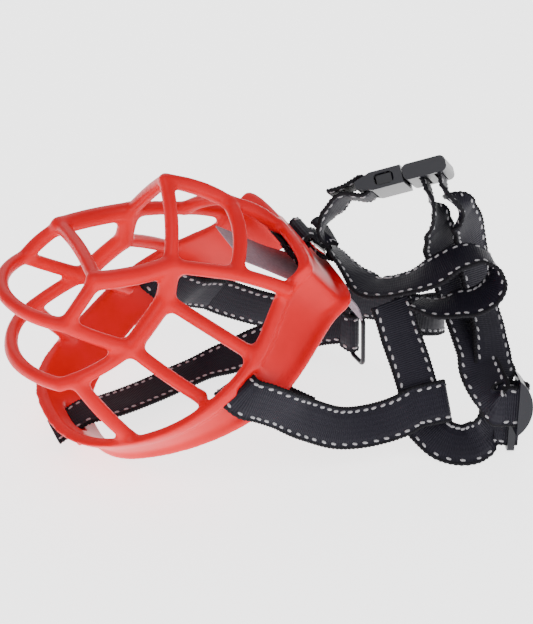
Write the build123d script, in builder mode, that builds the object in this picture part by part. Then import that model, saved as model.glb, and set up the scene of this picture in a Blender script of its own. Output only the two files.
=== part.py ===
"""Basket muzzle: a moulded rubber basket with a webbing harness, quick-release buckle and rings.

The harness lies as it does when the muzzle is put down. The throat strap touches the ground, which
is Z = 0, and the keeper and the basket's chin edge come within 1 mm of it. The nose points to -X
and up, and the dog's left cheek is the -Y side.
"""

import os
from math import cos, radians, sin

from build123d import *

os.makedirs("parts", exist_ok=True)

# Where the basket's mouth centre stands, and how far the basket leans back
BASKET_AT = Vector(-23.76, 14.19, 51.95)
BASKET_LEAN = 30

# Basket rim
RIM_REAR = -18
RIM_WALL = 3.4
RIM_LOFT_FRONT = 30
FLANGE_WIDTH = 4
FLANGE_OUT = 3
RIDGE_WIDTH = 6
RIDGE_OUT = 1.8

# Lattice bars
BAR_RADIUS = 3.3
BROAD_BAR_RADIUS = 4.4

# Slots for the webbing
SLOT_LENGTH = 23
SLOT_WIDTH = 5
SLOT_FRAME = 3.5
SLOT_DEPTH = 16

# Webbing
WEB_WIDTH = 20
WEB_THICKNESS = 1.6

# Buckle, measured along, across and through it
SOCKET_LENGTH = 22
BUCKLE_WIDTH = 27
BUCKLE_THICKNESS = 8.4
SOCKET_WALL = 1.5
WEDGE_LENGTH = 7.6
WINDOW_MIDDLE = 13.6
WINDOW_LENGTH = 9
PLUG_LENGTH = 20
PRONG_WIDTH = 4
PRONG_THICKNESS = 4.4
PRONG_GAP = 0.35
PLUG_GAP = 0.4

# Slider and keeper on the doubled strap
SLIDER_LENGTH = 16
SLIDER_WIDTH = 27
SLIDER_THICKNESS = 6.6
KEEPER_LENGTH = 6
KEEPER_DEPTH = 3.4

# Wire of the two rings, their sizes between wire centres, and the webbing's turn round them
WIRE_RADIUS = 1.1
RING_CORNER = 2.5
NOSE_RING_SIZE = (24, 9.5)
CHIN_RING_SIZE = (24, 13)
TURN_RADIUS = 2.6
RING_HEIGHT = 67.2
RING_FRONT = 6.5
RING_TILT = 17

# Thin pad that lies under the top of the rim
PAD_WIDTH = 36
PAD_THICKNESS = 1

lean = radians(BASKET_LEAN)
TO_TOP = Vector(cos(lean), 0, sin(lean))
TO_NOSE = Vector(-sin(lean), 0, cos(lean))
mouth_plane = Plane(origin=BASKET_AT, x_dir=TO_TOP, z_dir=TO_NOSE)
side_plane = Plane(origin=BASKET_AT, x_dir=TO_TOP, z_dir=(0, -1, 0))


def in_basket(to_top, to_left, to_nose):
    """A point in the basket's own directions from its mouth centre."""
    return BASKET_AT + TO_TOP * to_top + Vector(0, -to_left, 0) + TO_NOSE * to_nose


def from_centre(x, y, z):
    """A point in the world's directions from the mouth centre."""
    return BASKET_AT + Vector(x, y, z)


def finish(part, name):
    """Labels one piece and writes it."""
    part.label = name
    export_step(part, f"parts/{name}.step")


# ---------------------------------------------------------------- basket


def egg(plane, chin, chin_side, widest, top_side, top, outwards):
    """Egg-shaped face of the rim, narrow at the top, grown outwards by a distance."""
    slant = 0.7 * outwards
    half = [
        (chin - outwards, 0),
        (chin_side[0] - slant, chin_side[1] + slant),
        (widest[0], widest[1] + outwards),
        (top_side[0] + slant, top_side[1] + slant),
        (top + outwards, 0),
    ]
    with BuildSketch(plane) as outline:
        with BuildLine():
            Spline(half, tangents=[(0, 1), (0, -1)])
            mirror(about=Plane.XZ)
        make_face()
    return outline.sketch.face()


def rear_egg(outwards):
    """The rim's outline at the mouth edge."""
    return egg(mouth_plane.offset(RIM_REAR), -68, (-48, 40), (20, 56), (55, 35), 67, outwards)


def front_egg(outwards):
    """The rim's outline past its front edge, where the loft is cut off later."""
    return egg(mouth_plane.offset(RIM_LOFT_FRONT), -88, (-71, 52), (2, 57), (44, 36), 59, outwards)


def front_region(setback):
    """Side view of everything in front of the rim's curved front edge, set back by a distance."""
    with BuildSketch(side_plane) as region:
        with BuildLine():
            edge = Spline(
                (-100, 9 - setback),
                (-79, 9 - setback),
                (-50, 4 - setback),
                (-10, 5 - setback),
                (22, 9 - setback),
                (45, 15 - setback),
                (60, 19 - setback),
                (80, 20 - setback),
            )
            Polyline(edge @ 1, (80, 60), (-100, 60), edge @ 0)
        make_face()
    return region.sketch.face()


NODES = {
    "apex": (28, 0, 74),
    "bridge": (46, 0, 45),
    "rim_top": (58.5, 0, 19),
    "shoulder": (7.5, 27.6, 54),
    "brow": (-23, 27, 70),
    "nose_side": (-45, 32.7, 64),
    "nose_tip": (-60, 0, 74.6),
    "waist": (-3, 29.5, 42),
    "cheek": (-28, 35, 35.5),
    "window": (29, 33.5, 34),
    "jowl": (-56, 35, 37.5),
    "chin_side": (-63, 31.7, 39),
    "chin_tip": (-74, 0, 44),
    "rim_upper": (44, 39, 14.5),
    "rim_middle": (14, 52, 7),
    "rim_lower": (-15.5, 52, 3),
    "rim_chin": (-52, 46, 3),
}

# Start, end, radius and how far the middle bows away from the basket's axis
SIDE_BARS = [
    ("apex", "shoulder", BAR_RADIUS, 2),
    ("shoulder", "brow", BROAD_BAR_RADIUS, 2),
    ("brow", "nose_side", BAR_RADIUS, 1.5),
    ("nose_side", "cheek", BAR_RADIUS, 1),
    ("shoulder", "waist", BROAD_BAR_RADIUS, 0.5),
    ("waist", "cheek", BROAD_BAR_RADIUS, 1),
    ("shoulder", "window", BAR_RADIUS, 1),
    ("window", "rim_upper", BAR_RADIUS, 1),
    ("bridge", "window", BAR_RADIUS, 4),
    ("waist", "rim_middle", BAR_RADIUS, 1.5),
    ("cheek", "rim_lower", BAR_RADIUS, 1),
    ("jowl", "rim_chin", BAR_RADIUS, 1),
    ("cheek", "chin_side", BAR_RADIUS, 4),
]


def bar(start, middle, end, radius):
    """A round bar on an arc through three points, with a ball at each end."""
    with BuildLine() as path:
        ThreePointArc(start, middle, end)
    with BuildSketch(path.line ^ 0) as section:
        Circle(radius)
    sweep(section.sketch, path=path.line)
    with Locations(start, end):
        Sphere(radius * 1.08)


def bowed_middle(start, end, bow):
    """Middle of a bar, pushed away from the basket's axis."""
    local = mouth_plane.to_local_coords((start + end) * 0.5)
    outwards = Vector(local.X, local.Y, 0).normalized()
    return mouth_plane.from_local_coords(local + outwards * bow)


def mirrored(point):
    """The same point on the other side of the basket's middle."""
    return Vector(point.X, 2 * BASKET_AT.Y - point.Y, point.Z)


left_slot = Plane(origin=in_basket(0, 54, 0), x_dir=TO_TOP, z_dir=(0, -1, 0))
right_slot = Plane(origin=in_basket(0, -54, 0), x_dir=TO_TOP, z_dir=(0, 1, 0))
top_slot = Plane(origin=in_basket(61.5, 0, 6.5), x_dir=(0, 1, 0), z_dir=TO_TOP)
chin_slot = Plane(origin=in_basket(-73, 0, -4), x_dir=(0, 1, 0), z_dir=-TO_TOP)
slot_planes = [left_slot, right_slot, top_slot, chin_slot]

with BuildPart() as rim_opening:
    loft([rear_egg(-RIM_WALL), front_egg(-RIM_WALL)])
    extrude(rear_egg(-RIM_WALL), amount=-5)

with BuildPart() as ridge:
    loft([rear_egg(RIDGE_OUT), front_egg(RIDGE_OUT)])
    extrude(front_region(0), amount=80, both=True, mode=Mode.SUBTRACT)
    extrude(front_region(RIDGE_WIDTH), amount=80, both=True, mode=Mode.INTERSECT)

with BuildPart() as lattice:
    for start_name, end_name, radius, bow in SIDE_BARS:
        start = in_basket(*NODES[start_name])
        end = in_basket(*NODES[end_name])
        middle = bowed_middle(start, end, bow)
        bar(start, middle, end, radius)
        bar(mirrored(start), mirrored(middle), mirrored(end), radius)
    for start_name, end_name in [("rim_top", "bridge"), ("bridge", "apex")]:
        start = in_basket(*NODES[start_name])
        end = in_basket(*NODES[end_name])
        bar(start, bowed_middle(start, end, 1.5), end, BAR_RADIUS)
    for side_name, front_name, radius in [
        ("nose_side", "nose_tip", BAR_RADIUS),
        ("chin_side", "chin_tip", BAR_RADIUS),
    ]:
        side = in_basket(*NODES[side_name])
        bar(side, in_basket(*NODES[front_name]), mirrored(side), radius)
    brow = in_basket(*NODES["brow"])
    bar(brow, in_basket(-21, 0, 71), mirrored(brow), BAR_RADIUS)

with BuildPart() as basket:
    loft([rear_egg(0), front_egg(0)])
    extrude(front_region(0), amount=80, both=True, mode=Mode.SUBTRACT)
    add(ridge.part)
    extrude(rear_egg(FLANGE_OUT), amount=FLANGE_WIDTH)
    for slot_plane in slot_planes:
        with BuildSketch(slot_plane.offset(-1)):
            RectangleRounded(SLOT_LENGTH + 2 * SLOT_FRAME, SLOT_WIDTH + 2 * SLOT_FRAME, 2.5)
        extrude(amount=4)
    add(rim_opening.part, mode=Mode.SUBTRACT)
    add(lattice.part)
    for slot_plane in slot_planes:
        with BuildSketch(slot_plane):
            RectangleRounded(SLOT_LENGTH, SLOT_WIDTH, 1.5)
        extrude(amount=SLOT_DEPTH / 2, both=True, mode=Mode.SUBTRACT)
finish(basket.part, "basket")
print("basket solids", len(basket.part.solids()), "volume", round(basket.part.volume))


# ---------------------------------------------------------------- webbing


def webbing(name, stations, run_length=30, width=WEB_WIDTH, thickness=WEB_THICKNESS):
    """Webbing lofted through stations, each a point and the direction of its width.

    A strap that twists or turns strongly is lofted in runs of fewer stations.
    """
    sections = []
    points = [point for point, across in stations]
    for index, (point, across) in enumerate(stations):
        ahead = points[min(index + 1, len(points) - 1)]
        behind = points[max(index - 1, 0)]
        section_plane = Plane(origin=point, x_dir=across, z_dir=ahead - behind)
        with BuildSketch(section_plane) as section:
            Rectangle(width, thickness)
        sections.append(section.sketch.face())
    with BuildPart() as strap:
        for first in range(0, len(sections) - 1, run_length):
            loft(sections[first : first + run_length + 1], ruled=True)
    finish(strap.part, name)
    length = sum((b - a).length for a, b in zip(points, points[1:]))
    flat_volume = length * width * thickness
    print(f"{name}: length {length:.0f} mm, volume {strap.part.volume:.0f} of {flat_volume:.0f}")


def cheek_turn(side):
    """Stations of the loop round the rim, from outside over the flange and back inside."""
    across = TO_TOP
    return [
        (in_basket(10.5, side * 63.6, -20), across),
        (in_basket(6, side * 63.4, -12), across),
        (in_basket(1, side * 62.2, -4.5), across),
        (in_basket(0, side * 60.8, -0.9), across),
        (in_basket(0, side * 57.5, 0.1), across),
        (in_basket(0, side * 54, 0.3), across),
        (in_basket(0, side * 51.8, -0.6), across),
        (in_basket(1, side * 50.2, -4), across),
        (in_basket(8, side * 50.8, -20), across),
        (in_basket(13, side * 55.5, -28), across),
        (in_basket(18, side * 59.2, -36), across),
    ]


def half_turn(centre, start, bulge, radius, across):
    """Stations round half a circle, from the start side over the bulge to the other side."""
    stations = []
    for degrees in range(0, 181, 45):
        angle = radians(degrees)
        stations.append((centre + start * (radius * cos(angle)) + bulge * (radius * sin(angle)), across))
    return stations


# The harness hangs in a plane that leans back: to the rear, up it, and out of it to the left
harness_plane = Plane(origin=BASKET_AT, x_dir=(0.94, -0.342, 0), z_dir=(-0.293, -0.805, 0.515))


def in_harness(rear, up, out, across):
    """A station in the harness's own directions."""
    way = harness_plane.from_local_coords(Vector(*across)) - BASKET_AT
    return (harness_plane.from_local_coords(Vector(rear, up, out)), way)


# Where the cheek strap folds round the riser's end
joint_plane = Plane(origin=from_centre(96, -62.4, -27), x_dir=(1, -0.05, 0.04), z_dir=(-0.064, -0.855, 0.52))
joint_across = joint_plane.y_dir


def in_joint(rear, up, out):
    """A station in the cheek joint's own directions."""
    return (joint_plane.from_local_coords(Vector(rear, up, out)), joint_across)


webbing(
    "left_cheek_strap",
    [in_joint(-9, 0, -1.9), in_joint(0, 0, -1.9)]
    + half_turn(in_joint(5.6, 0, 0)[0], -joint_plane.z_dir, joint_plane.x_dir, 1.9, joint_across)
    + [
        in_joint(0, 0, 1.9),
        in_joint(-9, -0.3, 1.9),
        in_joint(-16, -2.3, 2.1),
        (from_centre(66, -62.5, -32), (0.2, 0.5, 0.85)),
        (from_centre(50, -62, -30.5), (0.3, 0.4, 0.85)),
        (from_centre(34, -62, -22.5), (0.5, 0.3, 0.8)),
    ]
    + cheek_turn(1),
)
webbing(
    "right_cheek_strap",
    [
        in_harness(95, 6.5, 4, (0, 0.9, -0.4)),
        in_harness(106, 5, -3, (0, 0.95, -0.2)),
        in_harness(116, 5, -12, (0, 1, 0)),
        in_harness(121, 6, -24, (0, 0.9, 0.3)),
        in_harness(117, 6, -38, (0, 0.85, 0.5)),
        (from_centre(118, 8, -24), (0, 0, 1)),
        (from_centre(108, 22, -22), (0, 0, 1)),
        (from_centre(96, 34, -25), (0, 0, 1)),
        (from_centre(84, 45, -32), (0, 0, 1)),
        (from_centre(67, 56, -37), (0.1, 0, 1)),
        (from_centre(48, 61.5, -31), (0.3, 0, 0.9)),
        (from_centre(32, 62, -21.5), (0.5, 0, 0.85)),
    ]
    + cheek_turn(-1),
)
webbing(
    "riser_strap",
    [
        in_harness(91.8, 11, 9.4, (0.93, 0.3, -0.2)),
        in_harness(94, 5, 9.3, (0.93, 0.3, -0.2)),
        in_harness(97, -4.9, 9, (0.93, 0.3, -0.2)),
        in_harness(100.9, -16.1, 9.2, (0.93, 0.3, -0.2)),
        in_harness(104.7, -28.7, 9.7, (0.93, 0.28, -0.23)),
        in_harness(108.6, -43, 9, (0.93, 0.28, -0.23)),
    ],
)

# From the nose ring over the brow, round the neck loop and back to the riser
sideways = Vector(0, 1, 0)
bar_out = TO_TOP * 0.835 + TO_NOSE * 0.55
bar_rear = TO_TOP * 0.55 - TO_NOSE * 0.835
ring_front_bar = in_basket(RING_HEIGHT, 0, RING_FRONT)
ring_way = (TO_TOP * sin(radians(RING_TILT)) - TO_NOSE * cos(radians(RING_TILT))).normalized()
ring_rear_bar = ring_front_bar + ring_way * NOSE_RING_SIZE[1]
webbing(
    "neck_strap",
    [(ring_rear_bar - bar_out * TURN_RADIUS + bar_rear * 9, sideways)]
    + half_turn(ring_rear_bar, -bar_out, -bar_rear, TURN_RADIUS, sideways)
    + [
        in_harness(63.3, 39.2, -3, (-0.32, 0.49, -0.81)),
        in_harness(68.6, 33.2, -2.5, (0.1, 0.4, -0.9)),
        in_harness(74.5, 26.5, -1, (0.25, 0.37, -0.89)),
        in_harness(79.5, 21.7, 2.5, (0.35, 0.45, -0.82)),
        in_harness(83, 18.4, 7, (0.3, 0.5, -0.8)),
        in_harness(87.5, 17.4, 11, (0.1, 0.5, -0.86)),
        in_harness(98.8, 19.3, 15.5, (0, 0.49, -0.87)),
        in_harness(112.3, 25.2, 21.5, (-0.12, 0.7, -0.7)),
        in_harness(122.5, 31.1, 24, (-0.1, 0.6, -0.8)),
        in_harness(132, 32.2, 24, (-0.12, 0.45, -0.88)),
        in_harness(138, 28, 23, (-0.18, 0.5, -0.84)),
        in_harness(139.3, 21.5, 22, (-0.2, 0.56, -0.8)),
        in_harness(136, 14.6, 22, (-0.2, 0.6, -0.77)),
        in_harness(129, 10.6, 21, (-0.1, 0.65, -0.75)),
        in_harness(123.2, 10, 20, (0, 0.65, -0.76)),
        in_harness(115.2, 8.2, 18, (0, 0.5, -0.87)),
        in_harness(108.5, 8.8, 15.5, (0, 0.4, -0.92)),
        in_harness(103.5, 10.6, 13.5, (0, 0.4, -0.91)),
    ],
    run_length=8,
)

# Its folded end holds the chin ring
chin_across = Vector(0, 0.1, 1).normalized()
chin_bar = from_centre(84, 2, -22)
webbing(
    "chin_strap",
    [
        (from_centre(-69.5, 0, -44.8), sideways),
        (from_centre(-61.2, 0, -40), sideways),
        (from_centre(-55, 0.5, -37.3), sideways),
        (from_centre(-44, 2.5, -38), (-0.2, 0.97, 0)),
        (from_centre(-20, 11, -40), (-0.36, 0.93, 0)),
        (from_centre(10, 23, -41), (-0.36, 0.93, 0)),
        (from_centre(32, 29, -41), (-0.25, 0.9, 0.3)),
        (from_centre(50, 30, -38), (-0.1, 0.7, 0.7)),
        (from_centre(66, 25, -31), (0.1, 0.4, 0.9)),
        (from_centre(78, 16, -25), (0.1, 0.2, 0.97)),
        (from_centre(85.5, 7, -22), chin_across),
    ]
    + half_turn(chin_bar, Vector(1, 0, 0), Vector(0, -1, 0.1), TURN_RADIUS, chin_across)
    + [(from_centre(80.5, 6, -22), chin_across)],
)
webbing(
    "nose_keeper",
    [
        (in_basket(57.4, 0, -5.5), sideways),
        (in_basket(57.4, 0, 3), sideways),
        (in_basket(58.3, 0, 4.8), sideways),
        (in_basket(60.1, 0, 5.1), sideways),
        (in_basket(65.1, 0, 5), sideways),
    ]
    + half_turn(ring_front_bar, -TO_NOSE, TO_TOP, TURN_RADIUS, sideways)
    + [
        (in_basket(65.1, 0, 8), sideways),
        (in_basket(60.1, 0, 7.9), sideways),
        (in_basket(58.1, 0, 8.2), sideways),
        (in_basket(56.8, 0, 9.8), sideways),
        (in_basket(56.3, 0, 14.5), sideways),
    ],
)
webbing(
    "nose_pad",
    [
        (in_basket(36, 0, 26), sideways),
        (in_basket(42, 0, 15), sideways),
        (in_basket(50, 0, 0), sideways),
        (in_basket(60, 0, -15), sideways),
        (in_basket(67.5, 0, -28), sideways),
        (in_basket(68.5, 0, -36), sideways),
        (in_basket(67, 0, -43), sideways),
    ],
    width=PAD_WIDTH,
    thickness=PAD_THICKNESS,
)

# ---------------------------------------------------------------- rings


def wire_ring(name, plane, size):
    """Rectangular wire ring whose first bar lies along the plane's X axis."""
    with BuildSketch(plane) as outline:
        with Locations((0, size[1] / 2)):
            RectangleRounded(*size, RING_CORNER)
    path = outline.sketch.face().outer_wire()
    with BuildPart() as ring:
        with BuildSketch(path ^ 0) as section:
            Circle(WIRE_RADIUS)
        sweep(section.sketch, path=path)
    finish(ring.part, name)


wire_ring(
    "nose_ring",
    Plane(origin=ring_front_bar, x_dir=-sideways, z_dir=ring_way.cross(sideways)),
    NOSE_RING_SIZE,
)
wire_ring("chin_ring", Plane(origin=chin_bar, x_dir=chin_across, z_dir=(1, 0, 0)), CHIN_RING_SIZE)

# ---------------------------------------------------------------- buckle

# Along the buckle, across it towards the right cheek, and through it
buckle_along = Vector(0.852, -0.406, 0.330)
buckle_through = Vector(0.015, 0.650, 0.761)
buckle_plane = Plane(origin=from_centre(79, -9.6, 62), x_dir=buckle_along, z_dir=buckle_through)
across_buckle = Plane(origin=buckle_plane.origin, x_dir=buckle_plane.x_dir, z_dir=-buckle_plane.y_dir)


def on_buckle(along, across, through):
    """A point in the buckle's own directions from the socket's webbing end."""
    return buckle_plane.from_local_coords(Vector(along, across, through))


half_width = BUCKLE_WIDTH / 2
half_thickness = BUCKLE_THICKNESS / 2
plug_start = SOCKET_LENGTH + PLUG_GAP
bar_middle = plug_start + 11.6

with BuildPart() as socket:
    with BuildSketch(across_buckle):
        Polygon(
            (0, -1.6),
            (WEDGE_LENGTH, -half_thickness),
            (SOCKET_LENGTH, -half_thickness),
            (SOCKET_LENGTH, half_thickness),
            (WEDGE_LENGTH, half_thickness),
            (0, 1.6),
            align=None,
        )
    extrude(amount=half_width, both=True)
    with BuildSketch(across_buckle):
        with Locations(((WEDGE_LENGTH + SOCKET_LENGTH) / 2 + 1, 0)):
            Rectangle(SOCKET_LENGTH - WEDGE_LENGTH + 2, BUCKLE_THICKNESS - 2 * SOCKET_WALL)
    extrude(amount=half_width - SOCKET_WALL, both=True, mode=Mode.SUBTRACT)
    with BuildSketch(across_buckle):
        with Locations((WINDOW_MIDDLE, 0)):
            RectangleRounded(WINDOW_LENGTH, BUCKLE_THICKNESS - 2 * SOCKET_WALL, 2)
    extrude(amount=half_width + 1, both=True, mode=Mode.SUBTRACT)
    with BuildSketch(buckle_plane):
        with Locations((5, 0)):
            Rectangle(3.6, WEB_WIDTH + 1)
    extrude(amount=half_thickness, both=True, mode=Mode.SUBTRACT)
finish(socket.part, "buckle_socket")

with BuildPart() as plug:
    with BuildSketch(across_buckle):
        with Locations((plug_start + PLUG_LENGTH / 2, 0)):
            RectangleRounded(PLUG_LENGTH, BUCKLE_THICKNESS - 1, 2.6)
    extrude(amount=half_width, both=True)
    with BuildSketch(across_buckle):
        with Locations((plug_start - 6, 0)):
            Rectangle(14, 2.6)
    extrude(amount=2.6, both=True)
    with BuildSketch(buckle_plane):
        with Locations((bar_middle - 3.6, 0), (bar_middle + 3.6, 0)):
            Rectangle(3.8, WEB_WIDTH + 1)
    extrude(amount=half_thickness, both=True, mode=Mode.SUBTRACT)
    with BuildSketch(buckle_plane.offset(1.5)):
        with Locations((bar_middle, 0)):
            Rectangle(8, WEB_WIDTH + 1)
    extrude(amount=half_thickness, mode=Mode.SUBTRACT)
finish(plug.part, "buckle_plug")

prong_outer = half_width - SOCKET_WALL - PRONG_GAP
for side, name in [(-1, "left_prong"), (1, "right_prong")]:
    with BuildPart() as prong:
        with BuildSketch(buckle_plane):
            Polygon(
                (SOCKET_LENGTH, side * (prong_outer - 0.8)),
                (SOCKET_LENGTH, side * (prong_outer - PRONG_WIDTH)),
                (14, side * (prong_outer - 3.4)),
                (9, side * (prong_outer - 2.6)),
                (9.8, side * prong_outer),
                (17, side * prong_outer),
                (18, side * (prong_outer - 0.8)),
                align=None,
            )
        extrude(amount=PRONG_THICKNESS / 2, both=True)
    finish(prong.part, name)

# Webbing over the plug's bar, which leaves with the plug
wrap_across = -buckle_plane.y_dir
webbing(
    "plug_strap_loop",
    [
        (on_buckle(bar_middle - 3.6, 0, -9), wrap_across),
        (on_buckle(bar_middle - 3.6, 0, 0), wrap_across),
        (on_buckle(bar_middle - 2.5, 0, 2.6), wrap_across),
        (on_buckle(bar_middle, 0, 3.3), wrap_across),
        (on_buckle(bar_middle + 2.5, 0, 2.6), wrap_across),
        (on_buckle(bar_middle + 3.6, 0, 0), wrap_across),
        (on_buckle(bar_middle + 3.6, 0, -9), wrap_across),
    ],
)

# Round the socket's bar and down to the nose ring, where its end is sewn on the neck strap
socket_across = buckle_plane.y_dir
webbing(
    "crown_strap",
    [
        (on_buckle(-14, 0, 1.6), socket_across),
        (on_buckle(-6, 0, 2), socket_across),
        (on_buckle(-1, 0, 3.4), socket_across),
        (on_buckle(2, 0, 4.3), socket_across),
        (on_buckle(4.9, 0, 3.2), socket_across),
        (on_buckle(5.3, 0, 0), socket_across),
        (on_buckle(4.9, 0, -3.2), socket_across),
        (on_buckle(2, 0, -4.3), socket_across),
        (on_buckle(-1, 0, -3.4), socket_across),
        (on_buckle(-6, 0, -1.5), socket_across),
        (from_centre(68.5, -3.5, 50), (0.45, 0.55, -0.7)),
        (from_centre(65.5, -2, 43.5), (0.4, 0.65, -0.6)),
        (from_centre(64.5, -1, 38.5), (0.25, 0.9, -0.3)),
        (from_centre(66.3, -0.5, 37), (0.1, 1, 0)),
        (from_centre(70, -1, 35.2), (0.1, 1, 0)),
    ],
    run_length=1,
)

# ---------------------------------------------------------------- slider, keeper and the straps in them

slider_up = Vector(0.09, 0.2, 0.975).normalized()
slider_out = Vector(0.94, -0.34, -0.02)
slider_plane = Plane(origin=from_centre(130, -83, -22), x_dir=slider_up, z_dir=slider_out)
slider_side = Plane(origin=slider_plane.origin, x_dir=slider_plane.x_dir, z_dir=-slider_plane.y_dir)


def in_slider(left, out):
    """A station of the strap through the slider."""
    return (slider_plane.from_local_coords(Vector(0, left, out)), -slider_plane.x_dir)


with BuildPart() as slider:
    with BuildSketch(slider_side):
        with BuildLine():
            base = Line((-SLIDER_WIDTH / 2, -1.4), (SLIDER_WIDTH / 2, -1.4))
            ThreePointArc(base @ 1, (0, SLIDER_THICKNESS - 1.4), base @ 0)
        make_face()
    extrude(amount=SLIDER_LENGTH / 2, both=True)
    with BuildSketch(slider_plane):
        with Locations((0, 3.7), (0, -3.7)):
            Rectangle(WEB_WIDTH + 1.4, 4.2)
    extrude(amount=SLIDER_THICKNESS, both=True, mode=Mode.SUBTRACT)
    with BuildSketch(slider_plane.offset(1.4)):
        Rectangle(WEB_WIDTH + 1.4, 11.6)
    extrude(amount=SLIDER_THICKNESS, mode=Mode.SUBTRACT)
finish(slider.part, "slider")

webbing(
    "adjuster_strap",
    [
        (on_buckle(bar_middle - 3.6, 0, -9.6), wrap_across),
        (on_buckle(bar_middle - 3.4, 0, -13), wrap_across),
        (from_centre(106.5, -33, 56.5), (-0.6, -0.6, 0.45)),
        (from_centre(109, -31, 47), (-0.8, -0.5, 0.25)),
        (from_centre(114, -26.5, 34), (-0.93, -0.25, 0.1)),
        (from_centre(117.5, -32, 16), (-0.93, -0.2, 0.2)),
        (from_centre(119, -44, 2), (-0.93, -0.2, 0.2)),
        (from_centre(119.5, -57, -7), (-0.93, -0.25, 0)),
        (from_centre(118.5, -67, -13), (-0.8, -0.2, -0.5)),
        (from_centre(119, -76, -17.5), (-0.6, -0.1, -0.75)),
        in_slider(3.7, -10.5),
        in_slider(3.7, -5.5),
        in_slider(3.7, 0),
        in_slider(2.6, 2.6),
        in_slider(0, 3.4),
        in_slider(-2.6, 2.6),
        in_slider(-3.7, 0),
        in_slider(-3.7, -5.5),
        in_slider(-3.7, -12),
        (from_centre(124.5, -69, -17), (-0.6, -0.1, -0.75)),
        (from_centre(127, -61, -9.5), (-0.8, -0.25, -0.1)),
        (from_centre(129.5, -51, -1), (-0.88, -0.3, 0.1)),
        (from_centre(130.5, -41, 8), (-0.9, -0.3, 0.2)),
        (from_centre(130, -33.5, 20), (-0.93, -0.25, 0.2)),
        (from_centre(128, -28.5, 38.5), (-0.85, -0.35, 0.25)),
        (from_centre(122, -32, 50.5), (-0.78, -0.5, 0.3)),
        (from_centre(117, -35, 59), (-0.62, -0.6, 0.4)),
        (on_buckle(bar_middle + 4.2, 0, -13), wrap_across),
        (on_buckle(bar_middle + 3.6, 0, -9.6), wrap_across),
    ],
)

keeper_origin = slider_plane.from_local_coords(Vector(-15.4, -11.6, -0.5))
keeper_plane = Plane(origin=keeper_origin, x_dir=slider_up, z_dir=slider_out)


def in_keeper(out):
    """A station of the strap through the keeper."""
    return (keeper_plane.from_local_coords(Vector(0, 0, out)), keeper_plane.x_dir)


with BuildPart() as keeper:
    with BuildSketch(keeper_plane.offset(-KEEPER_DEPTH / 2)):
        RectangleRounded(WEB_WIDTH + 4, KEEPER_LENGTH, 1.5)
        RectangleRounded(WEB_WIDTH + 0.8, WEB_THICKNESS + 1, 0.4, mode=Mode.SUBTRACT)
    extrude(amount=KEEPER_DEPTH)
finish(keeper.part, "strap_keeper")

webbing(
    "throat_strap",
    [
        in_harness(102.9, -39.3, 5.2, (0.5, 0.86, -0.1)),
        in_harness(109.6, -46.9, 3.6, (0.55, 0.83, -0.15)),
        in_harness(118.2, -54.2, 5, (0.35, 0.92, -0.2)),
        in_harness(128.2, -55.8, 6, (0.03, 0.95, -0.3)),
        in_harness(135, -53, 4, (-0.02, 0.97, 0)),
        in_keeper(-9),
        in_keeper(-5.2),
        in_keeper(3.5),
    ],
)
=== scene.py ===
"""Looks of a basket muzzle: rubber basket, webbing harness with reflective stitches, buckle and rings.

Lengths are in millimetres up to where a mesh is made, and in metres from there.
"""

from math import cos, pi, radians, sin

import bmesh
import bpy
import numpy as np
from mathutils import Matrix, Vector


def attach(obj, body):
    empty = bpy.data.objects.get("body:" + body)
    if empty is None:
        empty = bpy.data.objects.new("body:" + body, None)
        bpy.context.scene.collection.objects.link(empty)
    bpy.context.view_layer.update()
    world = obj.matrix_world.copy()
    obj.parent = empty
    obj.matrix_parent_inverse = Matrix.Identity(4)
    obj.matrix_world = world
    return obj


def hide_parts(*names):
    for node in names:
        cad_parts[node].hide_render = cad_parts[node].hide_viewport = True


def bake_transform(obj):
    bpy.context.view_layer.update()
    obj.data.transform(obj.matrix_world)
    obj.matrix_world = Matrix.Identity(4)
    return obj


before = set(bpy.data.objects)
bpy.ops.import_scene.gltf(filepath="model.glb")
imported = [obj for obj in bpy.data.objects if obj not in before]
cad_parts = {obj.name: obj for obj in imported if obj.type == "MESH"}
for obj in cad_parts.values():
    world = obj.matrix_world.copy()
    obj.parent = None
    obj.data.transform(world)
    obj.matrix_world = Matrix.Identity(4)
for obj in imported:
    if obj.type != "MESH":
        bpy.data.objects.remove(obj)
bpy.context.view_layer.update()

# ---------------------------------------------------------------- directions, as in the CAD model

CENTRE = Vector((-23.76, 14.19, 51.95))
LEAN = radians(30)
TO_TOP = Vector((cos(LEAN), 0, sin(LEAN)))
TO_NOSE = Vector((-sin(LEAN), 0, cos(LEAN)))
SIDEWAYS = Vector((0, 1, 0))
TURN = 2.6
BODY = "muzzle"


class Directions:
    """A local frame: where it starts, its first and third directions."""

    def __init__(self, origin, first, third):
        self.origin = origin
        self.third = Vector(third).normalized()
        first = Vector(first)
        self.first = (first - self.third * first.dot(self.third)).normalized()
        self.second = self.third.cross(self.first)

    def way(self, a, b, c):
        """A direction given in this frame."""
        return self.first * a + self.second * b + self.third * c

    def point(self, a, b, c):
        """A point given in this frame."""
        return self.origin + self.way(a, b, c)


def from_centre(x, y, z):
    """A point in the world's directions from the mouth centre."""
    return CENTRE + Vector((x, y, z))


def in_basket(to_top, to_left, to_nose):
    """A point in the basket's own directions."""
    return CENTRE + TO_TOP * to_top - SIDEWAYS * to_left + TO_NOSE * to_nose


harness = Directions(CENTRE, (0.94, -0.342, 0), (-0.293, -0.805, 0.515))
joint = Directions(from_centre(96, -62.4, -27), (1, -0.05, 0.04), (-0.064, -0.855, 0.52))
buckle = Directions(from_centre(79, -9.6, 62), (0.852, -0.406, 0.330), (0.015, 0.650, 0.761))
slider = Directions(from_centre(130, -83, -22), (0.09, 0.2, 0.975), (0.94, -0.34, -0.02))
keeper = Directions(slider.point(-15.4, -11.6, -0.5), slider.first, slider.third)


# ---------------------------------------------------------------- materials


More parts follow.
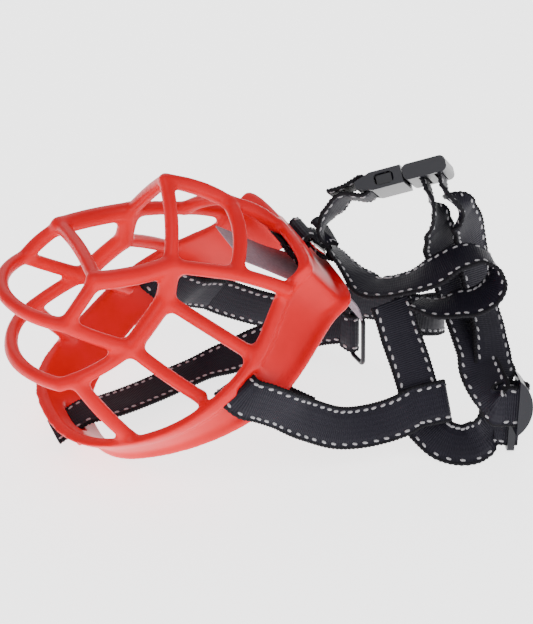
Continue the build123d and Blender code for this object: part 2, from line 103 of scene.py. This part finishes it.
def new_material(name, color, roughness, metallic=0.0):
    """A material and its shader, with a plain colour set."""
    material = bpy.data.materials.new(name)
    material.use_nodes = True
    shader = material.node_tree.nodes["Principled BSDF"]
    shader.inputs["Base Color"].default_value = (*color, 1)
    shader.inputs["Roughness"].default_value = roughness
    shader.inputs["Metallic"].default_value = metallic
    return material, shader


def add_noise_bump(material, shader, scale, strength, distance):
    """Fine irregular relief from noise in object space."""
    nodes, links = material.node_tree.nodes, material.node_tree.links
    coordinates = nodes.new("ShaderNodeTexCoord")
    noise = nodes.new("ShaderNodeTexNoise")
    noise.inputs["Scale"].default_value = scale
    noise.inputs["Detail"].default_value = 4
    bump = nodes.new("ShaderNodeBump")
    bump.inputs["Strength"].default_value = strength
    bump.inputs["Distance"].default_value = distance
    links.new(coordinates.outputs["Object"], noise.inputs["Vector"])
    links.new(noise.outputs["Fac"], bump.inputs["Height"])
    links.new(bump.outputs["Normal"], shader.inputs["Normal"])
    return noise


def add_mottle(material, shader, noise, dark, light):
    """Small colour differences that follow the noise."""
    nodes, links = material.node_tree.nodes, material.node_tree.links
    ramp = nodes.new("ShaderNodeValToRGB")
    ramp.color_ramp.elements[0].position = 0.3
    ramp.color_ramp.elements[0].color = (*dark, 1)
    ramp.color_ramp.elements[1].position = 0.7
    ramp.color_ramp.elements[1].color = (*light, 1)
    links.new(noise.outputs["Fac"], ramp.inputs["Fac"])
    links.new(ramp.outputs["Color"], shader.inputs["Base Color"])


rubber, rubber_shader = new_material("rubber", (0.66, 0.0002, 0.005), 0.38)
rubber_noise = add_noise_bump(rubber, rubber_shader, 60, 0.12, 0.0006)
add_mottle(rubber, rubber_shader, rubber_noise, (0.62, 0.0001, 0.004), (0.7, 0.0004, 0.007))
rubber_shader.inputs["Specular IOR Level"].default_value = 0.2

plastic, plastic_shader = new_material("plastic", (0.006, 0.006, 0.011), 0.36)
add_noise_bump(plastic, plastic_shader, 900, 0.08, 0.0002)
plastic_shader.inputs["Specular IOR Level"].default_value = 0.35

nickel, nickel_shader = new_material("nickel", (0.78, 0.77, 0.75), 0.16, 1.0)
add_noise_bump(nickel, nickel_shader, 300, 0.05, 0.0002)

felt, felt_shader = new_material("felt", (0.29, 0.24, 0.29), 0.75)
felt_noise = add_noise_bump(felt, felt_shader, 700, 0.4, 0.0004)
add_mottle(felt, felt_shader, felt_noise, (0.24, 0.2, 0.24), (0.34, 0.29, 0.34))

thread, thread_shader = new_material("thread", (0.36, 0.35, 0.37), 0.5)
add_noise_bump(thread, thread_shader, 2500, 0.5, 0.0002)


def web_material(name, color, roughness, across_pitch, along_pitch, depth):
    """Webbing whose weave follows the strap: ribs across it, and yarns along it at the edges."""
    material, shader = new_material(name, color, roughness)
    shader.inputs["Specular IOR Level"].default_value = 0.25
    nodes, links = material.node_tree.nodes, material.node_tree.links
    uv = nodes.new("ShaderNodeUVMap")
    uv.uv_map = "web"
    parts = nodes.new("ShaderNodeSeparateXYZ")
    links.new(uv.outputs["UV"], parts.inputs["Vector"])
    waves = []
    for output, pitch in [("Y", along_pitch), ("X", across_pitch)]:
        scaled = nodes.new("ShaderNodeMath")
        scaled.operation = "MULTIPLY"
        scaled.inputs[1].default_value = 2 * pi * 1000 / pitch
        wave = nodes.new("ShaderNodeMath")
        wave.operation = "SINE"
        links.new(parts.outputs[output], scaled.inputs[0])
        links.new(scaled.outputs[0], wave.inputs[0])
        waves.append(wave)
    weave = nodes.new("ShaderNodeMath")
    weave.operation = "MULTIPLY_ADD"
    weave.inputs[1].default_value = 0.35
    links.new(waves[1].outputs[0], weave.inputs[0])
    links.new(waves[0].outputs[0], weave.inputs[2])
    bump = nodes.new("ShaderNodeBump")
    bump.inputs["Strength"].default_value = 0.7
    bump.inputs["Distance"].default_value = depth
    links.new(weave.outputs[0], bump.inputs["Height"])
    links.new(bump.outputs["Normal"], shader.inputs["Normal"])
    return material


ribbon = web_material("ribbon", (0.006, 0.005, 0.012), 0.6, 2.4, 1.0, 0.00012)
selvedge = web_material("selvedge", (0.004, 0.0035, 0.006), 0.8, 1.1, 1.7, 0.00025)


# ---------------------------------------------------------------- basket

NODES = {
    "apex": (28, 0, 74),
    "bridge": (46, 0, 45),
    "rim_top": (58.5, 0, 19),
    "shoulder": (7.5, 27.6, 54),
    "brow": (-23, 27, 70),
    "nose_side": (-45, 32.7, 64),
    "nose_tip": (-60, 0, 74.6),
    "waist": (-3, 29.5, 42),
    "cheek": (-28, 35, 35.5),
    "window": (29, 33.5, 34),
    "jowl": (-56, 35, 37.5),
    "chin_side": (-63, 31.7, 39),
    "chin_tip": (-74, 0, 44),
    "rim_upper": (44, 39, 14.5),
    "rim_middle": (14, 52, 7),
    "rim_lower": (-15.5, 52, 3),
    "rim_chin": (-52, 46, 3),
}

# Start, end, crest radius and how far the middle bows away from the basket's axis
CRESTS = [
    ("apex", "shoulder", 2.0, 2),
    ("shoulder", "brow", 2.6, 2),
    ("brow", "nose_side", 2.0, 1.5),
    ("nose_side", "cheek", 2.0, 1),
    ("shoulder", "waist", 2.6, 0.5),
    ("waist", "cheek", 2.6, 1),
    ("shoulder", "window", 2.0, 1),
    ("window", "rim_upper", 2.0, 1),
    ("bridge", "window", 2.0, 4),
    ("waist", "rim_middle", 2.0, 1.5),
    ("cheek", "rim_lower", 2.0, 1),
    ("jowl", "rim_chin", 2.0, 1),
    ("cheek", "chin_side", 2.0, 4),
]


def basket_local(point):
    """Basket coordinates of a point: to the top, to the left, to the nose."""
    way = point - CENTRE
    return Vector((way.dot(TO_TOP), -way.y, way.dot(TO_NOSE)))


def away_from_axis(point):
    """Direction from the lattice's middle to a point on it."""
    local = basket_local(point)
    inside = in_basket(-10, 0, 30)
    way = point - inside if local.z > 45 else point - in_basket(-10, 0, local.z - 8)
    return way.normalized()


def arc_points(start, middle, end, count):
    """Points on the arc through three points, near enough as a parabola."""
    control = middle * 2 - (start + end) * 0.5
    points = []
    for step in range(count + 1):
        t = step / count
        points.append(start * (1 - t) ** 2 + control * (2 * t * (1 - t)) + end * t**2)
    return points


def add_tube(mesh, points, radii, sides=10):
    """A closed tube through points, in millimetres."""
    rings = []
    for index, point in enumerate(points):
        ahead = points[min(index + 1, len(points) - 1)] - points[max(index - 1, 0)]
        ahead.normalize()
        first = ahead.orthogonal().normalized() if index == 0 else (first - ahead * first.dot(ahead)).normalized()
        second = ahead.cross(first)
        ring = []
        for side in range(sides):
            angle = 2 * pi * side / sides
            offset = first * cos(angle) + second * sin(angle)
            ring.append(mesh.verts.new((point + offset * radii[index]) * 0.001))
        rings.append(ring)
    for ring, following in zip(rings, rings[1:]):
        for side in range(sides):
            other = (side + 1) % sides
            mesh.faces.new((ring[side], ring[other], following[other], following[side]))
    mesh.faces.new(list(reversed(rings[0])))
    mesh.faces.new(rings[-1])


def crest(mesh, start, middle, end, radius):
    """The raised crest along the outside of a bar, thinner where it meets its neighbours."""
    points = []
    radii = []
    for step, point in enumerate(arc_points(start, middle, end, 14)):
        points.append(point + away_from_axis(point) * 2.1)
        radii.append(radius * (0.72 + 0.28 * sin(pi * step / 14)))
    add_tube(mesh, points, radii)


def mirrored(point):
    """The same point on the other side of the basket."""
    return Vector((point.x, 2 * CENTRE.y - point.y, point.z))


def bowed(start, end, bow):
    """Middle of a bar pushed away from the basket's axis."""
    middle = (start + end) * 0.5
    local = basket_local(middle)
    outwards = TO_TOP * local.x - SIDEWAYS * local.y
    return middle + outwards.normalized() * bow


def new_object(name, mesh):
    """A shown object made from a mesh."""
    made = bpy.data.objects.new(name, mesh)
    bpy.context.collection.objects.link(made)
    return made


def apply_modifiers(target):
    """Replaces an object's mesh by what its modifiers make of it."""
    graph = bpy.context.evaluated_depsgraph_get()
    done = bpy.data.meshes.new_from_object(target.evaluated_get(graph))
    target.modifiers.clear()
    target.data = done


def remesh(target, size):
    """Voxel remesh."""
    step = target.modifiers.new("remesh", "REMESH")
    step.mode = "VOXEL"
    step.voxel_size = size
    apply_modifiers(target)


def push(target, distance):
    """Moves every vertex along its normal."""
    step = target.modifiers.new("push", "DISPLACE")
    step.mid_level = 0
    step.strength = distance
    apply_modifiers(target)


def relax(target, factor, times):
    """Smooths the surface."""
    step = target.modifiers.new("relax", "SMOOTH")
    step.factor = factor
    step.iterations = times
    apply_modifiers(target)


parts = bmesh.new()
parts.from_mesh(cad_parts["basket"].data)
for start_name, end_name, radius, bow in CRESTS:
    start, end = in_basket(*NODES[start_name]), in_basket(*NODES[end_name])
    middle = bowed(start, end, bow)
    crest(parts, start, middle, end, radius)
    crest(parts, mirrored(start), mirrored(middle), mirrored(end), radius)
for start_name, end_name in [("rim_top", "bridge"), ("bridge", "apex")]:
    start, end = in_basket(*NODES[start_name]), in_basket(*NODES[end_name])
    crest(parts, start, bowed(start, end, 1.5), end, 2.0)
for side_name, front in [("nose_side", NODES["nose_tip"]), ("chin_side", NODES["chin_tip"]), ("brow", (-21, 0, 71))]:
    side = in_basket(*NODES[side_name])
    crest(parts, side, in_basket(*front), mirrored(side), 2.0)
basket_mesh = bpy.data.meshes.new("basket_look")
parts.to_mesh(basket_mesh)
parts.free()
basket = new_object("basket_look", basket_mesh)
voxel = 0.0008
fillet = 0.0018
remesh(basket, voxel)
push(basket, fillet)
remesh(basket, voxel)
push(basket, -fillet)
remesh(basket, voxel)
relax(basket, 0.5, 9)
basket.data.shade_smooth()
basket.data.materials.clear()
basket.data.materials.append(rubber)
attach(basket, BODY)
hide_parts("basket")


# ---------------------------------------------------------------- webbing

# Points round the strap's section: across it, through it, and whether the edge yarns move it
HALF_SECTION = [
    (0, 0.86, 0),
    (3.5, 0.86, 0),
    (6.6, 0.84, 0),
    (7.1, 0.66, 0),
    (7.9, 0.66, 0),
    (8.6, 0.84, 1),
    (9.3, 0.86, 1),
    (9.85, 0.5, 1),
]


def section_points():
    """The whole closed section, going round once."""
    upper_right = HALF_SECTION
    lower_right = [(x, -z, edge) for x, z, edge in reversed(HALF_SECTION)]
    lower_left = [(-x, -z, edge) for x, z, edge in HALF_SECTION[1:]]
    upper_left = [(-x, z, edge) for x, z, edge in reversed(HALF_SECTION[1:])]
    return upper_right + lower_right + lower_left + upper_left


SECTION = section_points()
STEP = 0.45
STITCH_AT = 7.5
STITCH_PITCH = 4.6


def smooth_strap(stations, step):
    """Even samples along the strap: points, width directions, normals and lengths."""
    points = np.array([list(point) for point, across in stations])
    ways = np.array([list(across.normalized()) for point, across in stations])
    gaps = np.linalg.norm(np.diff(points, axis=0), axis=1)
    slopes = np.diff(points, axis=0) / gaps[:, None]
    tangents = np.empty_like(points)
    tangents[0], tangents[-1] = slopes[0], slopes[-1]
    for i in range(1, len(points) - 1):
        tangents[i] = (slopes[i] * gaps[i - 1] + slopes[i - 1] * gaps[i]) / (gaps[i] + gaps[i - 1])
    path, widths = [], []
    for i, gap in enumerate(gaps):
        count = max(2, int(round(gap / step)))
        for k in range(count):
            t = k / count
            path.append(
                points[i] * (2 * t**3 - 3 * t**2 + 1)
                + tangents[i] * gap * (t**3 - 2 * t**2 + t)
                + points[i + 1] * (3 * t**2 - 2 * t**3)
                + tangents[i + 1] * gap * (t**3 - t**2)
            )
            ease = t * t * (3 - 2 * t)
            widths.append(ways[i] * (1 - ease) + ways[i + 1] * ease)
    path.append(points[-1])
    widths.append(ways[-1])
    path, widths = np.array(path), np.array(widths)
    ahead = np.gradient(path, axis=0)
    ahead /= np.linalg.norm(ahead, axis=1)[:, None]
    widths -= ahead * np.sum(widths * ahead, axis=1)[:, None]
    widths /= np.linalg.norm(widths, axis=1)[:, None]
    normals = np.cross(ahead, widths)
    lengths = np.concatenate([[0], np.cumsum(np.linalg.norm(np.diff(path, axis=0), axis=1))])
    return path, widths, normals, lengths, ahead


def make_mesh(name, vertices, faces, uvs=None):
    """A mesh from millimetre vertices; uvs is one pair for each vertex."""
    mesh = bpy.data.meshes.new(name)
    mesh.from_pydata((np.array(vertices) * 0.001).tolist(), [], faces)
    mesh.update()
    if uvs is not None:
        layer = mesh.uv_layers.new(name="web")
        corners = np.empty(len(mesh.loops), np.int32)
        mesh.loops.foreach_get("vertex_index", corners)
        layer.data.foreach_set("uv", (np.array(uvs) * 0.001)[corners].astype(np.float32).ravel())
    mesh.shade_smooth()
    return mesh


def capsule():
    """A low lens shape for one stitch: vertices one unit long, wide and high, and its faces."""
    vertices, faces = [], []
    rings = [(-0.5, 0.35), (-0.36, 0.85), (0, 1), (0.36, 0.85), (0.5, 0.35)]
    sides = 6
    for along, size in rings:
        for side in range(sides + 1):
            angle = pi * side / sides
            vertices.append((along, 0.5 * size * cos(angle), size * sin(angle)))
    for ring in range(len(rings) - 1):
        for side in range(sides):
            a = ring * (sides + 1) + side
            faces.append((a, a + 1, a + sides + 2, a + sides + 1))
    faces.append(tuple(range(sides, -1, -1)))
    last = (len(rings) - 1) * (sides + 1)
    faces.append(tuple(range(last, last + sides + 1)))
    return np.array(vertices), faces


CAPSULE, CAPSULE_FACES = capsule()
random = np.random.default_rng(7)


def stitch(vertices, faces, centre, along, across, up, size):
    """Adds one stitch: size is its length, width and height."""
    first = len(vertices)
    for x, y, z in CAPSULE:
        vertices.append(centre + along * (x * size[0]) + across * (y * size[1]) + up * (z * size[2]))
    for face in CAPSULE_FACES:
        faces.append(tuple(first + corner for corner in face))


def strap_pieces(name, stations, skip_ends=1.5):
    """Webbing and its two rows of stitches on each face."""
    path, widths, normals, lengths, ahead = smooth_strap(stations, STEP)
    vertices, uvs, faces, kinds = [], [], [], []
    around = len(SECTION)
    for i, s in enumerate(lengths):
        for x, z, edge in SECTION:
            side = 1 if x > 0 else -1
            bulge = edge * 0.16 * sin(2 * pi * s / 1.7 + side)
            out = x + side * bulge
            up = z * (1 + edge * 0.25 * sin(2 * pi * s / 1.7 + side))
            vertices.append(path[i] + widths[i] * out + normals[i] * up)
            uvs.append((out, s))
    for i in range(len(lengths) - 1):
        for k in range(around):
            a, b = i * around + k, i * around + (k + 1) % around
            faces.append((a, b, b + around, a + around))
            kinds.append(1 if SECTION[k][2] and SECTION[(k + 1) % around][2] else 0)
    faces.append(tuple(range(around - 1, -1, -1)))
    faces.append(tuple(range((len(lengths) - 1) * around, len(lengths) * around)))
    kinds += [1, 1]
    strap = new_object(name + "_look", make_mesh(name, vertices, faces, uvs))
    strap.data.materials.append(ribbon)
    strap.data.materials.append(selvedge)
    strap.data.polygons.foreach_set("material_index", np.array(kinds, np.int32))

    rows_v, rows_f = [], []
    for face in (1, -1):
        for side in (1, -1):
            s = skip_ends + 1.2 + 0.8 * side
            while s < lengths[-1] - skip_ends:
                i = int(np.searchsorted(lengths, s))
                slant = 0.16 * side * face + random.uniform(-0.1, 0.1)
                along = ahead[i] * cos(slant) + widths[i] * sin(slant)
                across = np.cross(normals[i], along)
                centre = path[i] + widths[i] * (side * (STITCH_AT + random.uniform(-0.12, 0.12)))
                centre = centre + normals[i] * (face * 0.62)
                stitch(rows_v, rows_f, centre, along, across, normals[i] * face, (2.5, 1.3, 0.6))
                s += STITCH_PITCH * random.uniform(0.94, 1.06)
    rows = new_object(name + "_stitches", make_mesh(name + "_stitches", rows_v, rows_f))
    rows.data.materials.append(thread)
    return strap, rows


def in_harness(rear, up, out, across):
    """A station in the harness's own directions."""
    return (harness.point(rear, up, out), harness.way(*across))


def in_joint(rear, up, out):
    """A station where the cheek strap folds."""
    return (joint.point(rear, up, out), joint.second)


def in_slider(left, out):
    """A station of the strap through the slider."""
    return (slider.point(0, left, out), -slider.first)


def in_keeper(out):
    """A station of the strap through the keeper."""
    return (keeper.point(0, 0, out), keeper.first)


def at(x, y, z, across):
    """A station from the mouth centre."""
    return (from_centre(x, y, z), Vector(across))


def half_turn(centre, start, bulge, radius, across, step=30):
    """Stations round half a circle."""
    stations = []
    for degrees in range(0, 181, step):
        angle = radians(degrees)
        stations.append((centre + start * (radius * cos(angle)) + bulge * (radius * sin(angle)), across))
    return stations


def cheek_turn(side):
    """Stations of the loop round the rim."""
    places = [
        (10.5, 63.6, -20),
        (6, 63.4, -12),
        (1, 62.2, -4.5),
        (0, 60.8, -0.9),
        (0, 57.5, 0.1),
        (0, 54, 0.3),
        (0, 51.8, -0.6),
        (1, 50.2, -4),
        (8, 50.8, -20),
        (13, 55.5, -28),
        (18, 59.2, -36),
    ]
    return [(in_basket(a, side * b, c), TO_TOP) for a, b, c in places]


bar_out = TO_TOP * 0.835 + TO_NOSE * 0.55
bar_rear = TO_TOP * 0.55 - TO_NOSE * 0.835
RING_TILT = radians(17)
front_bar = in_basket(67.2, 0, 6.5)
ring_way = TO_TOP * sin(RING_TILT) - TO_NOSE * cos(RING_TILT)
rear_bar = front_bar + ring_way * 9.5
chin_across = Vector((0, 0.1, 1)).normalized()
chin_bar = from_centre(84, 2, -22)

STRAPS = {
    "left_cheek_strap": [in_joint(-9, 0, -1.9), in_joint(0, 0, -1.9)]
    + half_turn(joint.point(5.6, 0, 0), -joint.third, joint.first, 1.9, joint.second)
    + [
        in_joint(0, 0, 1.9),
        in_joint(-9, -0.3, 1.9),
        in_joint(-16, -2.3, 2.1),
        at(66, -62.5, -32, (0.2, 0.5, 0.85)),
        at(50, -62, -30.5, (0.3, 0.4, 0.85)),
        at(34, -62, -22.5, (0.5, 0.3, 0.8)),
    ]
    + cheek_turn(1),
    "right_cheek_strap": [
        in_harness(95, 6.5, 4, (0, 0.9, -0.4)),
        in_harness(106, 5, -3, (0, 0.95, -0.2)),
        in_harness(116, 5, -12, (0, 1, 0)),
        in_harness(121, 6, -24, (0, 0.9, 0.3)),
        in_harness(117, 6, -38, (0, 0.85, 0.5)),
        at(118, 8, -24, (0, 0, 1)),
        at(108, 22, -22, (0, 0, 1)),
        at(96, 34, -25, (0, 0, 1)),
        at(84, 45, -32, (0, 0, 1)),
        at(67, 56, -37, (0.1, 0, 1)),
        at(48, 61.5, -31, (0.3, 0, 0.9)),
        at(32, 62, -21.5, (0.5, 0, 0.85)),
    ]
    + cheek_turn(-1),
    "riser_strap": [
        in_harness(91.8, 11, 9.4, (0.93, 0.3, -0.2)),
        in_harness(94, 5, 9.3, (0.93, 0.3, -0.2)),
        in_harness(97, -4.9, 9, (0.93, 0.3, -0.2)),
        in_harness(100.9, -16.1, 9.2, (0.93, 0.3, -0.2)),
        in_harness(104.7, -28.7, 9.7, (0.93, 0.28, -0.23)),
        in_harness(108.6, -43, 9, (0.93, 0.28, -0.23)),
    ],
    "neck_strap": [(rear_bar - bar_out * TURN + bar_rear * 9, SIDEWAYS)]
    + half_turn(rear_bar, -bar_out, -bar_rear, TURN, SIDEWAYS)
    + [
        in_harness(63.3, 39.2, -3, (-0.32, 0.49, -0.81)),
        in_harness(68.6, 33.2, -2.5, (0.1, 0.4, -0.9)),
        in_harness(74.5, 26.5, -1, (0.25, 0.37, -0.89)),
        in_harness(79.5, 21.7, 2.5, (0.35, 0.45, -0.82)),
        in_harness(83, 18.4, 7, (0.3, 0.5, -0.8)),
        in_harness(87.5, 17.4, 11, (0.1, 0.5, -0.86)),
        in_harness(98.8, 19.3, 15.5, (0, 0.49, -0.87)),
        in_harness(112.3, 25.2, 21.5, (-0.12, 0.7, -0.7)),
        in_harness(122.5, 31.1, 24, (-0.1, 0.6, -0.8)),
        in_harness(132, 32.2, 24, (-0.12, 0.45, -0.88)),
        in_harness(138, 28, 23, (-0.18, 0.5, -0.84)),
        in_harness(139.3, 21.5, 22, (-0.2, 0.56, -0.8)),
        in_harness(136, 14.6, 22, (-0.2, 0.6, -0.77)),
        in_harness(129, 10.6, 21, (-0.1, 0.65, -0.75)),
        in_harness(123.2, 10, 20, (0, 0.65, -0.76)),
        in_harness(115.2, 8.2, 18, (0, 0.5, -0.87)),
        in_harness(108.5, 8.8, 15.5, (0, 0.4, -0.92)),
        in_harness(103.5, 10.6, 13.5, (0, 0.4, -0.91)),
    ],
    "chin_strap": [
        (from_centre(-69.5, 0, -44.8), SIDEWAYS),
        (from_centre(-61.2, 0, -40), SIDEWAYS),
        (from_centre(-55, 0.5, -37.3), SIDEWAYS),
        at(-44, 2.5, -38, (-0.2, 0.97, 0)),
        at(-20, 11, -40, (-0.36, 0.93, 0)),
        at(10, 23, -41, (-0.36, 0.93, 0)),
        at(32, 29, -41, (-0.25, 0.9, 0.3)),
        at(50, 30, -38, (-0.1, 0.7, 0.7)),
        at(66, 25, -31, (0.1, 0.4, 0.9)),
        at(78, 16, -25, (0.1, 0.2, 0.97)),
        (from_centre(85.5, 7, -22), chin_across),
    ]
    + half_turn(chin_bar, Vector((1, 0, 0)), Vector((0, -1, 0.1)), TURN, chin_across)
    + [(from_centre(80.5, 6, -22), chin_across)],
    "nose_keeper": [
        (in_basket(57.4, 0, -5.5), SIDEWAYS),
        (in_basket(57.4, 0, 3), SIDEWAYS),
        (in_basket(58.3, 0, 4.8), SIDEWAYS),
        (in_basket(60.1, 0, 5.1), SIDEWAYS),
        (in_basket(65.1, 0, 5), SIDEWAYS),
    ]
    + half_turn(front_bar, -TO_NOSE, TO_TOP, TURN, SIDEWAYS)
    + [
        (in_basket(65.1, 0, 8), SIDEWAYS),
        (in_basket(60.1, 0, 7.9), SIDEWAYS),
        (in_basket(58.1, 0, 8.2), SIDEWAYS),
        (in_basket(56.8, 0, 9.8), SIDEWAYS),
        (in_basket(56.3, 0, 14.5), SIDEWAYS),
    ],
    "plug_strap_loop": [
        (buckle.point(a, 0, c), -buckle.second)
        for a, c in [(30.4, -9), (30.4, 0), (31.5, 2.6), (34, 3.3), (36.5, 2.6), (37.6, 0), (37.6, -9)]
    ],
    "crown_strap": [
        (buckle.point(a, 0, c), buckle.second)
        for a, c in [(-14, 1.6), (-6, 2), (-1, 3.4), (2, 4.3), (4.9, 3.2), (5.3, 0), (4.9, -3.2), (2, -4.3), (-1, -3.4)]
    ]
    + [
        (buckle.point(-6, 0, -1.5), buckle.second),
        at(68.5, -3.5, 50, (0.45, 0.55, -0.7)),
        at(65.5, -2, 43.5, (0.4, 0.65, -0.6)),
        at(64.5, -1, 38.5, (0.25, 0.9, -0.3)),
        at(66.3, -0.5, 37, (0.1, 1, 0)),
        at(70, -1, 35.2, (0.1, 1, 0)),
    ],
    "adjuster_strap": [
        (buckle.point(30.4, 0, -9.2), -buckle.second),
        (buckle.point(30.6, 0, -13), Vector((-0.35, -0.75, 0.55))),
        at(106.5, -33, 56.5, (-0.6, -0.6, 0.45)),
        at(109, -31, 47, (-0.8, -0.5, 0.25)),
        at(114, -26.5, 34, (-0.93, -0.25, 0.1)),
        at(117.5, -32, 16, (-0.93, -0.2, 0.2)),
        at(119, -44, 2, (-0.93, -0.2, 0.2)),
        at(119.5, -57, -7, (-0.93, -0.25, 0)),
        at(118.5, -67, -13, (-0.8, -0.2, -0.5)),
        at(119, -76, -17.5, (-0.6, -0.1, -0.75)),
        in_slider(3.7, -10.5),
        in_slider(3.7, -5.5),
        in_slider(3.7, 0),
        in_slider(2.6, 2.6),
        in_slider(0, 3.4),
        in_slider(-2.6, 2.6),
        in_slider(-3.7, 0),
        in_slider(-3.7, -5.5),
        in_slider(-3.7, -12),
        at(124.5, -69, -17, (-0.6, -0.1, -0.75)),
        at(127, -61, -9.5, (-0.8, -0.25, -0.1)),
        at(129.5, -51, -1, (-0.88, -0.3, 0.1)),
        at(130.5, -41, 8, (-0.9, -0.3, 0.2)),
        at(130, -33.5, 20, (-0.93, -0.25, 0.2)),
        at(128, -28.5, 38.5, (-0.85, -0.35, 0.25)),
        at(122, -32, 50.5, (-0.78, -0.5, 0.3)),
        at(117, -35, 59, (-0.62, -0.6, 0.4)),
        (buckle.point(38.2, 0, -13), Vector((-0.35, -0.75, 0.55))),
        (buckle.point(37.6, 0, -9.2), -buckle.second),
    ],
    "throat_strap": [
        in_harness(102.9, -39.3, 5.2, (0.5, 0.86, -0.1)),
        in_harness(109.6, -46.9, 3.6, (0.55, 0.83, -0.15)),
        in_harness(118.2, -54.2, 5, (0.35, 0.92, -0.2)),
        in_harness(128.2, -55.8, 6, (0.03, 0.95, -0.3)),
        in_harness(135, -53, 4, (-0.02, 0.97, 0)),
        in_keeper(-9),
        in_keeper(-5.2),
        in_keeper(3.5),
    ],
}

for name, stations in STRAPS.items():
    for piece in strap_pieces(name, stations):
        if name == "adjuster_strap":
            start = from_centre(118, -40, 10) * 0.001
            end = from_centre(113, -31, 56) * 0.001
            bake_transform(piece)
        elif name == "plug_strap_loop":
            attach(piece, "plug")
        else:
            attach(piece, BODY)
        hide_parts(name)


# ---------------------------------------------------------------- plastic, rings and pad

for name in ["buckle_socket", "buckle_plug", "left_prong", "right_prong", "slider", "strap_keeper"]:
    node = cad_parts[name]
    node.data.materials.clear()
    node.data.materials.append(plastic)
    soften = node.modifiers.new("soften", "BEVEL")
    soften.width = 0.0005
    soften.segments = 3
    soften.limit_method = "ANGLE"
    soften.angle_limit = radians(35)
    soften.harden_normals = True
    node.data.shade_smooth()
for name, paint in [("nose_ring", nickel), ("chin_ring", plastic)]:
    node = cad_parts[name]
    node.data.materials.clear()
    node.data.materials.append(paint)
    node.data.shade_smooth()

# The lining strip under the top of the rim, with a rolled edge on both sides
PAD_STATIONS = [(36, 26), (42, 15), (50, 0), (60, -15), (67.5, -28), (68.5, -36), (67, -43)]
PAD_SECTION = [(-17.9, 0), (-17.5, 0.42), (-16.6, 0.5), (-15.9, 0.3), (-15.2, 0.42), (-8, 0.45), (0, 0.5)]


def pad_piece():
    """A thin strip that follows the rim's slope."""
    stations = [(in_basket(a, 0, c), SIDEWAYS) for a, c in PAD_STATIONS]
    path, widths, normals, lengths, ahead = smooth_strap(stations, 1.5)
    upper = PAD_SECTION + [(-x, z) for x, z in reversed(PAD_SECTION[:-1])]
    section = upper + [(x, -z) for x, z in reversed(upper[1:-1])]
    around = len(section)
    vertices, faces = [], []
    for point, width, normal in zip(path, widths, normals):
        for x, z in section:
            vertices.append(point + width * x + normal * z)
    for i in range(len(path) - 1):
        for k in range(around):
            a, b = i * around + k, i * around + (k + 1) % around
            faces.append((a, b, b + around, a + around))
    faces.append(tuple(range(around - 1, -1, -1)))
    faces.append(tuple(range((len(path) - 1) * around, len(path) * around)))
    return new_object("nose_pad_look", make_mesh("nose_pad_look", vertices, faces))


pad = pad_piece()
pad.data.materials.append(felt)
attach(pad, BODY)
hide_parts("nose_pad")

# ---------------------------------------------------------------- camera, light and floor

AZIMUTH, ELEVATION = radians(-20), radians(31)
towards_camera = Vector((sin(AZIMUTH) * cos(ELEVATION), -cos(AZIMUTH) * cos(ELEVATION), sin(ELEVATION)))
camera_data = bpy.data.cameras.new("camera")
camera_data.lens = 110.5
camera_data.sensor_width = 36
camera_data.shift_x = 0.119
camera_data.shift_y = 0.021
camera = new_object("camera", camera_data)
camera.location = CENTRE * 0.001 + towards_camera * 0.9
camera.rotation_euler = towards_camera.to_track_quat("Z", "Y").to_euler()
bpy.context.scene.camera = camera


def area_light(name, place, size, power):
    """A soft square light that points at the object."""
    data = bpy.data.lights.new(name, "AREA")
    data.size = size
    data.energy = power
    lamp = new_object(name, data)
    lamp.location = place
    lamp.rotation_euler = (Vector(place) - Vector((0.03, 0, 0.05))).to_track_quat("Z", "Y").to_euler()


area_light("key", (-0.5, -0.7, 1.1), 0.9, 7)
area_light("fill", (0.9, -0.8, 0.7), 1.0, 3.5)
area_light("back", (0.2, 0.9, 0.9), 1.0, 4.5)

world = bpy.data.worlds.new("world")
bpy.context.scene.world = world
world.use_nodes = True
world.node_tree.nodes["Background"].inputs["Color"].default_value = (1, 1, 1, 1)
world.node_tree.nodes["Background"].inputs["Strength"].default_value = 0.55

floor_paint, floor_shader = new_material("floor_paint", (0.9, 0.9, 0.9), 0.9)
floor_shader.inputs["Emission Color"].default_value = (1, 1, 1, 1)
floor_shader.inputs["Emission Strength"].default_value = 2.4
floor = new_object("floor", make_mesh("floor", [(-4000, -4000, 0), (4000, -4000, 0), (4000, 4000, 0), (-4000, 4000, 0)], [(0, 1, 2, 3)]))
floor.data.materials.append(floor_paint)
